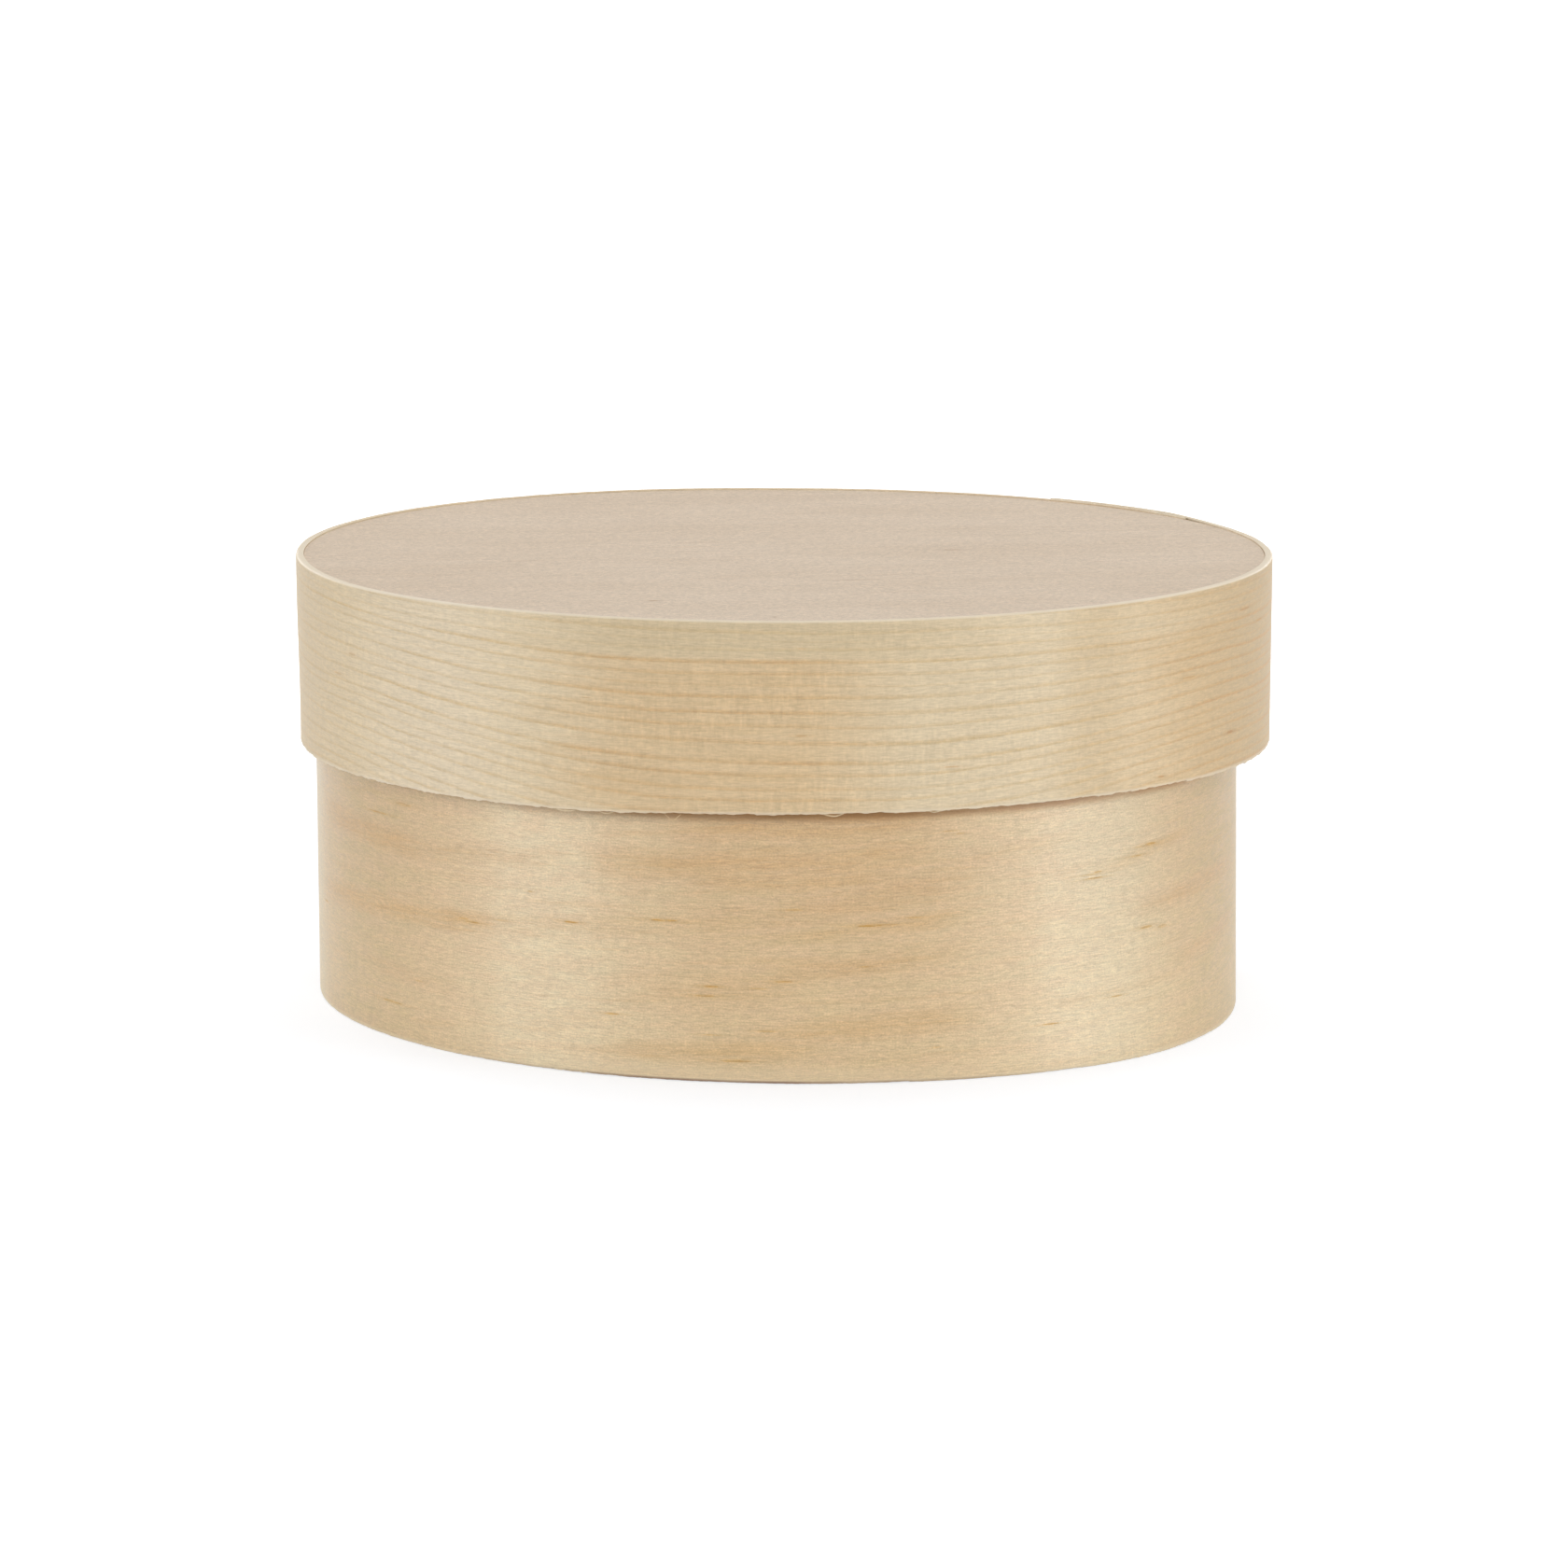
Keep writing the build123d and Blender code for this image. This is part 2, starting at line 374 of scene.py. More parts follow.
class Tree:
    """Short calls that build one material's nodes."""

    def __init__(self, name):
        self.material = bpy.data.materials.new(name)
        self.material.use_nodes = True
        self.nodes = self.material.node_tree.nodes
        self.links = self.material.node_tree.links
        self.shader = self.nodes["Principled BSDF"]

    def add(self, kind, **settings):
        node = self.nodes.new(kind)
        for key, value in settings.items():
            setattr(node, key, value)
        return node

    def feed(self, socket, value):
        """Links another node's socket, or sets a plain value."""
        if isinstance(value, bpy.types.NodeSocket):
            self.links.new(value, socket)
        else:
            socket.default_value = value

    def math(self, operation, *values):
        node = self.add("ShaderNodeMath", operation=operation)
        for socket, value in zip(node.inputs, values):
            self.feed(socket, value)
        return node.outputs[0]

    def times(self, first, second):
        return self.math("MULTIPLY", first, second)

    def plus(self, first, second):
        return self.math("ADD", first, second)

    def minus(self, first, second):
        return self.math("SUBTRACT", first, second)

    def most(self, first, second):
        return self.math("MAXIMUM", first, second)

    def scaled(self, value, factor, added):
        return self.math("MULTIPLY_ADD", value, factor, added)

    def vector(self, operation, *values):
        node = self.add("ShaderNodeVectorMath", operation=operation)
        for socket, value in zip(node.inputs, values):
            self.feed(socket, value)
        return node.outputs[0]

    def remap(self, value, low, high, to_low=0.0, to_high=1.0):
        """A value carried smoothly from one range to another."""
        node = self.add("ShaderNodeMapRange", interpolation_type="SMOOTHSTEP")
        for socket, item in zip(node.inputs, (value, low, high, to_low, to_high)):
            self.feed(socket, item)
        return node.outputs[0]

    def noise(self, point, lengths, detail=2.0, roughness=0.5, shift=0.0):
        """Noise from 0 to 1, with its typical length along each axis."""
        scales = [1 / length for length in lengths]
        moved = self.vector("MULTIPLY_ADD", point, scales, (shift, shift, shift))
        node = self.add("ShaderNodeTexNoise")
        self.feed(node.inputs["Vector"], moved)
        self.feed(node.inputs["Scale"], 1.0)
        self.feed(node.inputs["Detail"], detail)
        self.feed(node.inputs["Roughness"], roughness)
        return node.outputs["Fac"]

    def mix(self, factor, first, second):
        """A colour between two colours."""
        node = self.add("ShaderNodeMix", data_type="RGBA")
        self.feed(node.inputs["Factor"], factor)
        self.feed(node.inputs[6], first)
        self.feed(node.inputs[7], second)
        return node.outputs[2]

    def shade(self, colour, value):
        """A colour made lighter or darker by a value near 1."""
        node = self.add("ShaderNodeVectorMath", operation="SCALE")
        self.feed(node.inputs[0], colour)
        self.feed(node.inputs["Scale"], value)
        return node.outputs[0]

    def split(self, point):
        node = self.add("ShaderNodeSeparateXYZ")
        self.feed(node.inputs[0], point)
        return node.outputs

    def along_up(self, along, up):
        """A vector of two values, with no depth."""
        node = self.add("ShaderNodeCombineXYZ")
        self.feed(node.inputs[0], along)
        self.feed(node.inputs[1], up)
        return node.outputs[0]

    def grain(self):
        """A point's place in its wood, in millimetres: along, across, and deep."""
        return self.add("ShaderNodeAttribute", attribute_name="grain").outputs["Vector"]

    def place(self):
        """A point's place on the object, in metres."""
        return self.add("ShaderNodeTexCoord").outputs["Object"]

    def finish(self, colour, roughness, height, relief, specular):
        """Feeds colour, roughness and relief to the shader, with the relief's depth in metres."""
        self.shader.inputs["Specular IOR Level"].default_value = specular
        self.feed(self.shader.inputs["Base Color"], colour)
        self.feed(self.shader.inputs["Roughness"], roughness)
        bump = self.add("ShaderNodeBump")
        self.feed(bump.inputs["Distance"], relief)
        self.feed(bump.inputs["Height"], height)
        self.feed(self.shader.inputs["Normal"], bump.outputs[0])
        return self.material


def brightness(tree, value, spread):
    """A noise of 0 to 1 as a factor about 1."""
    return tree.scaled(value, 2 * spread, 1 - spread)


def fibres(tree, point):
    """Fine fibres along the grain, as a noise of 0 to 1."""
    long_ones = tree.noise(point, (14, 0.3, 0.5), 3.0, 0.6, 3.1)
    short_ones = tree.remap(tree.noise(point, (1.5, 0.2, 0.4), 2.0, 0.6, 7.7), 0.28, 0.72)
    return tree.plus(tree.times(long_ones, 0.5), tree.times(short_ones, 0.5))


def knife_marks(tree, point, strength):
    """Fine marks across the grain, left by the slicing knife, in patches."""
    narrow = tree.noise(point, (0.45, 2.2, 5), 3.0, 0.65, 13.0)
    broad = tree.noise(point, (1.5, 4.5, 9), 2.0, 0.6, 29.0)
    marks = tree.scaled(broad, 0.6, tree.scaled(narrow, 0.9, -0.25))
    cloud = tree.noise(point, (24, 9, 40), 1.0, 0.5, 17.0)
    patches = tree.times(tree.remap(cloud, 0.35, 0.65, 0.45, 1.0), strength)
    away = tree.minus(marks, 0.5)
    return tree.plus(tree.times(away, patches), 0.5)


def flecks(tree, point):
    """Small mottling of the sanded surface."""
    return tree.noise(point, (0.62, 0.5, 0.5), 3.0, 0.8, 23.0)


def growth_line(tree, offset, width, strength):
    """One growth ring's edge: a soft rise to its dark late wood, and a quicker end below."""
    rise = tree.remap(offset, -width, 0.0)
    fall = tree.remap(offset, 0.0, 0.45 * width, 1.0, 0.0)
    return tree.times(tree.times(rise, fall), strength)


def dash(tree, along, up, centre, size):
    """A short resin mark, as a mask, with its place and size in millimetres."""
    a = tree.math("DIVIDE", tree.minus(along, centre[0]), size[0])
    b = tree.math("DIVIDE", tree.minus(up, centre[1]), size[1])
    squares = tree.plus(tree.times(a, a), tree.times(b, b))
    core = tree.remap(squares, 0.45, 1.0, 1.0, 0.0)
    return tree.most(core, tree.remap(squares, 0.0, 7.0, 0.26, 0.0))


def scattered_dashes(tree, point, cell, size, kept):
    """Short resin marks strewn over the strip, one at most in each cell."""
    scales = [1 / length for length in cell]
    node = tree.add("ShaderNodeTexVoronoi")
    tree.feed(node.inputs["Vector"], tree.vector("MULTIPLY", point, scales))
    tree.feed(node.inputs["Scale"], 1.0)
    offset = tree.vector("SUBTRACT", tree.vector("MULTIPLY", point, scales), node.outputs["Position"])
    stretched = tree.vector("MULTIPLY", offset, [c / s for c, s in zip(cell, size)])
    length = tree.add("ShaderNodeVectorMath", operation="LENGTH")
    tree.feed(length.inputs[0], stretched)
    chosen = tree.math("LESS_THAN", tree.split(node.outputs["Color"])[0], kept)
    mark = tree.remap(length.outputs["Value"], 0.4, 1.0, 1.0, 0.0)
    return tree.times(mark, chosen)


# Growth rings of the lid's strip: depth below the rim at the front and width of the late
# wood, in millimetres, and strength
LID_RINGS = (
    (-4.6, 0.9, 0.8), (-2.5, 0.8, 0.6), (-0.4, 0.9, 0.7), (1.7, 0.9, 0.65),
    (3.0, 0.5, 0.3), (4.3, 0.8, 0.55), (6.2, 0.9, 1.0), (8.0, 0.8, 0.75),
    (9.7, 0.6, 0.45), (11.4, 0.9, 0.85), (13.7, 0.9, 0.85), (15.6, 0.8, 0.7),
    (18.0, 1.0, 1.0), (20.8, 0.9, 0.95), (22.5, 0.8, 0.8), (24.5, 0.8, 0.7),
    (26.1, 0.8, 0.75), (28.2, 0.9, 0.8), (30.3, 0.9, 0.7), (32.4, 0.9, 0.8),
    (34.2, 0.9, 0.7), (36.1, 0.9, 0.8), (38.0, 0.9, 0.7),
)
LID_RING_DRIFT_SHARE = 0.016
LID_RING_WIDTH_SHARE = 0.8

# How much closer the rings lie on the sides than at the front, and how far round that starts
# and ends, in millimetres
LID_SQUEEZE_SHARE = 0.3
LID_SQUEEZE_START = 15
LID_SQUEEZE_END = 85

# Small marks of the lid's strip: angle, depth below the rim, half length and half height
# in millimetres, and strength
LID_MARKS = (
    (-23, 4.9, 2.6, 0.16, 0.9), (-17, 7.6, 2.0, 0.16, 0.7), (-27, 22.8, 1.3, 0.22, 1.0),
    (-37, 12.9, 2.2, 0.17, 0.6), (-42, 26.9, 0.9, 0.17, 0.9), (-149, 10.4, 1.2, 0.25, 0.5),
    (-153, 14.0, 1.6, 0.17, 0.5), (-71, 22.0, 1.4, 0.14, 0.6), (-88, 16.8, 1.0, 0.14, 0.6),
    (35, 9.0, 2.0, 0.2, 0.7), (96, 19.0, 2.6, 0.16, 0.8), (150, 12.0, 1.6, 0.2, 0.7),
)

# Stretches of each strip with another tone: angle of the middle, half length in
# millimetres, and strength
LID_WARM_STRETCHES = ((-18, 36, 1.3), (60, 40, 0.7), (150, 36, 0.9))
LID_RED_STRETCH = ((-98, 24, 0.9),)
LID_OLIVE_STRETCH = ((-95, 29, 0.9),)
LID_RED_TOP = 5.4
LID_DEEP_STRETCHES = ((-12, 26, 0.95), (-53, 6, 0.4), (-172, 24, 0.5), (110, 30, 0.4))
# The cream stretch on the lid's front left is partly painted sheen of the left lamp, partly paler wood.
LID_CREAM_SHEEN_STRETCHES = ((-135, 14, 0.8),)
LID_MARKED_STRETCHES = ((-88, 36, 0.5), (20, 30, 0.3), (120, 50, 0.4))
# On the body, the pale stretches at the front left and front right are painted sheen of the side lamps,
# the crisp ones giving the sheen's sharp edges; the others are paler wood.
BODY_CRISP_PALE_AND_SHEEN_STRETCHES = ((-119, 10, 0.3), (-50.5, 10.5, 0.35), (40, 9, 0.3), (140, 12, 0.3))
BODY_PALE_AND_SHEEN_STRETCHES = (
    (-176, 8, 0.5), (-117, 17, 0.7), (-53, 20, 0.5), (-2, 8, 0.5),
    (30, 24, 0.8), (95, 20, 0.6), (152, 22, 0.9),
)
# The grey stretches at the body's left and right edges are painted reflection of the white surroundings
# at a glancing angle; the others are greyer wood.
BODY_GREY_AND_REFLECTION_STRETCHES = ((-173, 7, 0.4), (-46, 10, 0.3), (-4, 7, 0.55), (75, 12, 0.3))
# The dark stretches at the front are partly painted shade between the painted sheens, partly darker wood.
BODY_DARK_AND_SHADE_STRETCHES = ((-152, 14, 0.6), (-17, 20, 1.0), (-86, 16, 0.25), (70, 20, 0.4))


# Where the pale rim, sanded wood with a painted highlight, starts and is full, below a strip's top, in
# millimetres
RIM_PALE_START = 0.3
RIM_PALE_FULL = 0.12


def stretches(tree, along, ring, table, softness=0.7):
    """A mask of stretches along a strip, each fading out at both ends."""
    total = 0.0
    for degrees, half_length, strength in table:
        middle = along_strip(ring, math.radians(degrees))
        away = tree.math("ABSOLUTE", tree.minus(along, middle))
        full, none = half_length * (0.9 - softness), half_length * (0.9 + softness)
        stretch = tree.remap(away, full, none, strength, 0.0)
        total = tree.plus(stretch, total)
    return total


def marks_mask(tree, along, up, ring, table):
    """All the small marks of a strip as one mask, frayed along the grain."""
    total = 0.0
    for degrees, height, half_length, half_height, strength in table:
        centre = (along_strip(ring, math.radians(degrees)), height)
        mark = dash(tree, along, up, centre, (half_length, half_height))
        total = tree.most(tree.times(mark, strength), total)
    return total


def sanded_edges_and_rim_highlight(tree, colour, up, ring, pale, rim_strength, foot_strength):
    """The pale rim of a strip, sanded wood with a painted highlight, and the paler frayed foot."""
    top = ring.height / MM
    rim = tree.remap(up, top - RIM_PALE_START, top - RIM_PALE_FULL)
    rim = tree.times(rim, rim_strength)
    foot = tree.remap(up, 0.35, 0.85, foot_strength, 0.0)
    return tree.mix(tree.most(rim, foot), colour, pale)


def lid_band_wood():
    """Quarter-sawn veneer: near-level growth rings, fibres and knife marks."""
    tree = Tree("lid_band_veneer")
    point = tree.grain()
    along, up = tree.split(point)[0:2]
    rim = lid_ring.height / MM
    front = along_strip(lid_ring, math.radians(-90))
    slow = tree.noise(point, (45, 14, 30), 1.0, 0.5, 1.0)
    quick = tree.noise(point, (4, 1.6, 8), 2.0, 0.5, 31.0)
    wave = tree.plus(tree.times(slow, 1.5), tree.times(quick, 0.26))
    drift = tree.scaled(along, LID_RING_DRIFT_SHARE, -0.88 - LID_RING_DRIFT_SHARE * front)
    level = tree.plus(tree.plus(up, drift), wave)
    round_from_front = tree.math("ABSOLUTE", tree.minus(along, front))
    squeeze = tree.remap(round_from_front, LID_SQUEEZE_START, LID_SQUEEZE_END, 1.0, 1 + LID_SQUEEZE_SHARE)
    depth_down = tree.times(tree.minus(rim, level), squeeze)
    lines = 0.0
    for depth, width, strength in LID_RINGS:
        offset = tree.minus(depth_down, depth)
        width *= LID_RING_WIDTH_SHARE
        lines = tree.most(growth_line(tree, offset, width, strength), lines)
    fading = tree.remap(tree.noise(point, (26, 1.5, 30), 2.0, 0.6, 50.0), 0.35, 0.62, 0.62, 1.12)
    broken = tree.remap(tree.noise(point, (0.8, 0.4, 1), 2.0, 0.7, 5.0), 0.35, 0.65, 0.78, 1.15)
    lines = tree.times(tree.times(lines, fading), broken)
    warm = stretches(tree, along, lid_ring, LID_WARM_STRETCHES)
    cloud = tree.noise(point, (30, 3.2, 20), 3.0, 0.55, 9.0)
    ragged_along = tree.plus(along, tree.scaled(cloud, 16.0, -8.0))
    red = stretches(tree, ragged_along, lid_ring, LID_RED_STRETCH, 0.45)
    margin = tree.remap(up, rim - LID_RED_TOP - 1, rim - LID_RED_TOP + 1)
    olive = tree.times(stretches(tree, ragged_along, lid_ring, LID_OLIVE_STRETCH, 0.45), margin)
    red = tree.minus(red, tree.times(red, margin))
    warm = tree.times(warm, tree.remap(up, rim - 7, rim - 4, 1.0, 0.6))
    warm = tree.plus(warm, red)
    tint = tree.plus(warm, tree.remap(cloud, 0.3, 0.7, -0.14, 0.14))
    deep = stretches(tree, along, lid_ring, LID_DEEP_STRETCHES)
    ground = tree.mix(tint, linear(209, 191, 159), linear(200, 174, 134))
    ground = tree.mix(deep, ground, linear(185, 161, 121))
    cream_and_sheen = stretches(tree, along, lid_ring, LID_CREAM_SHEEN_STRETCHES)
    ground = tree.mix(cream_and_sheen, ground, linear(211, 195, 168))
    ground = tree.mix(olive, ground, linear(196, 177, 143))
    late = tree.mix(warm, linear(194, 167, 122), linear(190, 150, 102))
    line_depth = tree.times(lines, tree.scaled(deep, 0.2, 0.68))
    colour = tree.mix(line_depth, ground, late)
    table = [(degrees, rim - depth, a, b, strength) for degrees, depth, a, b, strength in LID_MARKS]
    resin = marks_mask(tree, along, up, lid_ring, table)
    strewn = scattered_dashes(tree, point, (30, 4, 9), (1.1, 0.12, 3), 0.3)
    resin = tree.most(resin, tree.times(strewn, 0.4))
    colour = tree.mix(tree.times(resin, 0.75), colour, linear(176, 128, 70))
    streaks = tree.noise(point, (9, 0.6, 8), 3.0, 0.65, 61.0)
    marked = stretches(tree, along, lid_ring, LID_MARKED_STRETCHES)
    marked = tree.plus(marked, tree.times(red, 0.2))
    marks = knife_marks(tree, point, tree.plus(marked, 0.4))
    fine = fibres(tree, point)
    for value, spread in ((fine, 0.18), (streaks, 0.08), (marks, 0.2), (flecks(tree, point), 0.14)):
        colour = tree.shade(colour, brightness(tree, value, spread))
    # Painted shade: the lid's strip is made a little darker towards its top.
    colour = tree.shade(colour, tree.scaled(up, -0.0013, 1.0))
    # Painted highlight: the lid's rim is painted paler, less at the front than on the sides.
    rim_highlight_share = tree.remap(round_from_front, 20, 60, 0.58, 0.8)
    rim_highlight_share = tree.times(rim_highlight_share, tree.remap(round_from_front, 110, 150, 1.0, 0.5))
    colour = sanded_edges_and_rim_highlight(tree, colour, up, lid_ring, linear(220, 207, 185), rim_highlight_share, 0.55)
    roughness = tree.scaled(fine, 0.2, 0.4)
    height = tree.plus(tree.times(fine, 0.7), tree.times(marks, 0.5))
    height = tree.plus(height, tree.times(lines, 0.3))
    return tree.finish(colour, roughness, height, 0.05 * MM, 0.5)


# Resin marks of the body's strip: pixel of the photograph, then half its length and
# half its height in millimetres, and its strength
BODY_MARKS = (
    ((497, 984), 1.2, 0.14, 0.7), ((506, 988), 1.8, 0.16, 0.9), ((538, 986), 1.4, 0.14, 0.5),
    ((612, 988), 1.5, 0.16, 1.0), ((568, 955), 0.5, 0.1, 0.7), ((711, 986), 2.6, 0.2, 0.9),
    ((762, 1057), 1.3, 0.15, 1.0), ((755, 1067), 1.8, 0.15, 0.8), ((655, 1086), 1.5, 0.14, 0.8),
    ((788, 1137), 2.8, 0.22, 0.7), ((821, 1105), 1.6, 0.14, 0.5), ((762, 1109), 1.6, 0.12, 0.5),
    ((420, 1073), 3.4, 0.18, 0.7), ((449, 1051), 1.2, 0.12, 0.5), ((405, 870), 3.2, 0.15, 0.8),
    ((432, 862), 2.4, 0.3, 0.5), ((350, 965), 1.4, 0.14, 0.9), ((840, 1052), 1.6, 0.16, 0.8),
    ((851, 975), 1.5, 0.14, 0.6), ((926, 1036), 0.8, 0.12, 0.7), ((932, 992), 2.2, 0.18, 1.0),
    ((943, 991), 3.4, 0.14, 0.6), ((981, 983), 1.8, 0.13, 0.5), ((1029, 893), 0.8, 0.12, 0.5),
    ((1171, 941), 2.2, 0.12, 0.9), ((1176, 934), 0.9, 0.14, 0.8), ((1168, 937), 2.6, 0.12, 0.5),
    ((1232, 904), 1.6, 0.24, 1.0), ((1222, 907), 2.2, 0.16, 0.5), ((1217, 917), 1.4, 0.12, 0.8),
    ((1228, 993), 1.7, 0.2, 0.9), ((1245, 992), 1.4, 0.28, 0.5), ((1196, 1067), 1.4, 0.13, 0.8),
    ((1126, 1097), 1.8, 0.12, 0.9), ((1003, 1122), 0.8, 0.12, 0.5), ((690, 866), 4.6, 0.5, 0.5),
    ((755, 869), 3.4, 0.35, 0.45),
)

# Soft darker bands of the body's strip: angle and height at both ends, half the band's
# height, its strength, and how golden it is
BODY_BANDS = (
    (-163, 31.4, -140, 30.6, 2.0, 1.0, 0.5), (-140, 30.6, -118, 31.8, 1.5, 0.5, 0.3),
    (-166, 19.2, -128, 21.0, 1.7, 1.0, 0.7), (-128, 21.0, -90, 25.2, 1.9, 0.3, 0.6),
    (-99, 38.4, -73, 38.6, 2.2, 0.85, 0.6), (-98, 30.2, -76, 30.6, 1.6, 0.7, 0.5),
    (-153, 11.0, -134, 10.2, 1.6, 0.5, 0.0), (-110, 32.2, -74, 34.4, 2.4, 0.75, 0.6),
    (-106, 13.4, -88, 14.6, 2.8, 0.6, 0.4), (-108, 4.2, -86, 5.4, 1.5, 0.8, 0.9),
    (-90, 25.0, -68, 30.0, 3.0, 0.6, 0.2), (-88, 22.0, -68, 24.6, 1.3, 0.5, 0.8),
    (-90, 16.7, -70, 19.0, 1.8, 0.8, 0.4), (-90, 7.6, -68, 9.4, 1.9, 0.9, 0.7),
    (-66, 33.6, -52, 34.4, 1.2, 0.3, 0.2), (-46, 30.0, -34, 31.9, 1.0, 0.7, 0.9),
    (-42, 22.4, -17, 24.4, 1.6, 0.95, 0.2), (-34, 13.4, -16, 16.0, 1.7, 0.85, 0.2),
    (-57, 10.0, -33, 11.6, 0.9, 0.4, 0.4), (-10, 28.0, 30, 25.0, 2.2, 0.7, 0.3),
    (0, 12.0, 45, 9.0, 2.4, 0.8, 0.5), (40, 34.0, 85, 30.0, 1.8, 0.6, 0.2),
    (96, 18.0, 140, 21.5, 2.4, 0.8, 0.5), (110, 6.0, 150, 8.5, 1.6, 0.7, 0.8),
    (125, 31.0, 175, 34.0, 2.2, 0.6, 0.2), (-185, 10.0, -170, 12.0, 1.8, 0.5, 0.4),
)
BAND_END_FADE = 7

# Where the foot's edge gets a painted dark contact shadow, with a paler band just above it: angle of the
# middle, half length in millimetres, and strength
FOOT_SHADE_STRETCHES = ((-93, 34, 0.9), (50, 30, 0.6), (160, 24, 0.5))

# How far the painted shadow line below the lid's edge, partly a rub mark, fades down the body, in
# millimetres
UNDER_LID_SHADE_FADE = 2.0


def soft_band(tree, along, up, band):
    """One soft band along the body's strip, as a mask."""
    first_angle, first_height, last_angle, last_height, half_height, strength, _ = band
    first = along_strip(body_ring, math.radians(first_angle))
    length = math.radians(last_angle - first_angle) * body_ring.inner_radius / MM
    run = tree.minus(along, first)
    slope = (last_height - first_height) / length
    away = tree.minus(up, tree.scaled(run, slope, first_height))
    across = tree.remap(tree.math("ABSOLUTE", away), 0.0, half_height * 1.5, strength, 0.0)
    past_middle = tree.math("ABSOLUTE", tree.minus(run, length / 2))
    ends = tree.remap(past_middle, length / 2 - BAND_END_FADE, length / 2 + BAND_END_FADE, 1.0, 0.0)
    return tree.times(across, ends)


def body_band_wood():
    """Flat-sawn veneer: broad soft bands, resin marks and fine mottling."""
    tree = Tree("body_band_veneer")
    point = tree.grain()
    along, up, deep = tree.split(point)[0:3]
    bent = tree.noise(point, (16, 3.0, 20), 3.0, 0.6, 33.0)
    bent_up = tree.plus(up, tree.scaled(bent, 2.4, -1.2))
    tan, gold = 0.0, 0.0
    for band in BODY_BANDS:
        mask = soft_band(tree, along, bent_up, band)
        tan = tree.most(mask, tan)
        gold = tree.most(tree.times(mask, band[-1]), gold)
    rising = tree.vector("ADD", point, tree.along_up(0.0, tree.times(along, -0.04)))
    streaks = tree.noise(rising, (26, 1.5, 20), 3.0, 0.6, 41.0)
    ragged_band = tree.remap(tree.noise(rising, (12, 0.9, 8), 3.0, 0.65, 14.0), 0.3, 0.65, 0.45, 1.15)
    ragged_along = tree.plus(along, tree.scaled(bent, 5.0, -2.5))
    # Painted sheen: the pale stretches at the front left and front right stand in for the side lamps'
    # sheen; the rest are paler wood.
    crisp_pale_and_sheen = stretches(tree, ragged_along, body_ring, BODY_CRISP_PALE_AND_SHEEN_STRETCHES, 0.3)
    pale = tree.plus(stretches(tree, along, body_ring, BODY_PALE_AND_SHEEN_STRETCHES), crisp_pale_and_sheen)
    dark = stretches(tree, along, body_ring, BODY_DARK_AND_SHADE_STRETCHES)
    ground = tree.mix(pale, linear(202, 177, 137), linear(217, 199, 164))
    # Painted shade in part: darker stretches between the painted sheens.
    ground = tree.mix(dark, ground, linear(184, 160, 113))
    grey_and_reflection = stretches(tree, along, body_ring, BODY_GREY_AND_REFLECTION_STRETCHES)
    hue = tree.remap(tree.noise(rising, (9, 2.2, 9), 5.0, 0.78, 88.0), 0.35, 0.65)
    ground = tree.mix(tree.times(hue, 0.4), ground, linear(211, 177, 143))
    tan = tree.times(tan, ragged_band)
    gold = tree.times(gold, ragged_band)
    colour = tree.mix(tree.times(tan, 0.78), ground, linear(193, 158, 117))
    colour = tree.mix(tree.times(gold, 0.5), colour, linear(200, 166, 108))
    colour = tree.mix(tree.remap(streaks, 0.52, 0.76, 0.0, 0.3), colour, linear(198, 160, 112))
    thin = tree.remap(tree.noise(rising, (5, 0.34, 8), 3.0, 0.65, 52.0), 0.5, 0.72)
    thin = tree.times(thin, tree.scaled(tan, 0.45, 0.14))
    colour = tree.mix(thin, colour, linear(190, 150, 102))
    # Painted reflection: greyer wood at the body's left and right edges.
    colour = tree.mix(grey_and_reflection, colour, linear(203, 190, 158))
    # Painted light: the body's wood is made paler towards the foot, standing in for light thrown up from
    # the floor.
    foot = tree.remap(up, 32, 2, 0.0, 0.16)
    colour = tree.mix(foot, colour, linear(218, 204, 168))
    table = []
    for pixel, half_length, half_height, strength in BODY_MARKS:
        angle, height = seen_on_ring(pixel, body_ring, body_shape)
        table.append((math.degrees(angle), height / MM, half_length, half_height, strength))
    marks = marks_mask(tree, along, up, body_ring, table)
    strewn = scattered_dashes(tree, point, (30, 9, 9), (2.0, 0.16, 3), 0.22)
    marks = tree.most(marks, tree.times(strewn, 0.45))
    torn = tree.remap(tree.noise(point, (1.4, 0.14, 1), 2.0, 0.6, 5.0), 0.3, 0.6, 0.5, 1.0)
    marks = tree.times(marks, torn)
    colour = tree.mix(marks, colour, linear(186, 142, 64))
    fine = fibres(tree, point)
    knife = knife_marks(tree, point, 0.9)
    mottle = tree.noise(rising, (1.5, 0.42, 0.6), 3.0, 0.75, 23.0)
    speckle = tree.noise(point, (0.3, 0.24, 0.3), 1.0, 0.5, 71.0)
    for value, spread in ((fine, 0.2), (knife, 0.12), (mottle, 0.2), (speckle, 0.24)):
        colour = tree.shade(colour, brightness(tree, value, spread))
    # Painted light and shade: the body's wood is made lighter towards the foot and darker towards the
    # top.
    colour = tree.shade(colour, tree.scaled(up, -0.0026, 1.046))
    colour = sanded_edges_and_rim_highlight(tree, colour, up, body_ring, linear(222, 206, 174), 0.85, 0.5)
    uneven = tree.noise(point, (14, 9, 9), 3.0, 0.6, 4.0)
    foot_shade_stretch = stretches(tree, along, body_ring, FOOT_SHADE_STRETCHES)
    # A paler band just above the foot, in the same stretches as the painted contact shadow.
    pale_foot_band = tree.times(tree.remap(up, 1.2, 3.4, 0.4, 0.0), foot_shade_stretch)
    colour = tree.mix(pale_foot_band, colour, linear(224, 206, 174))
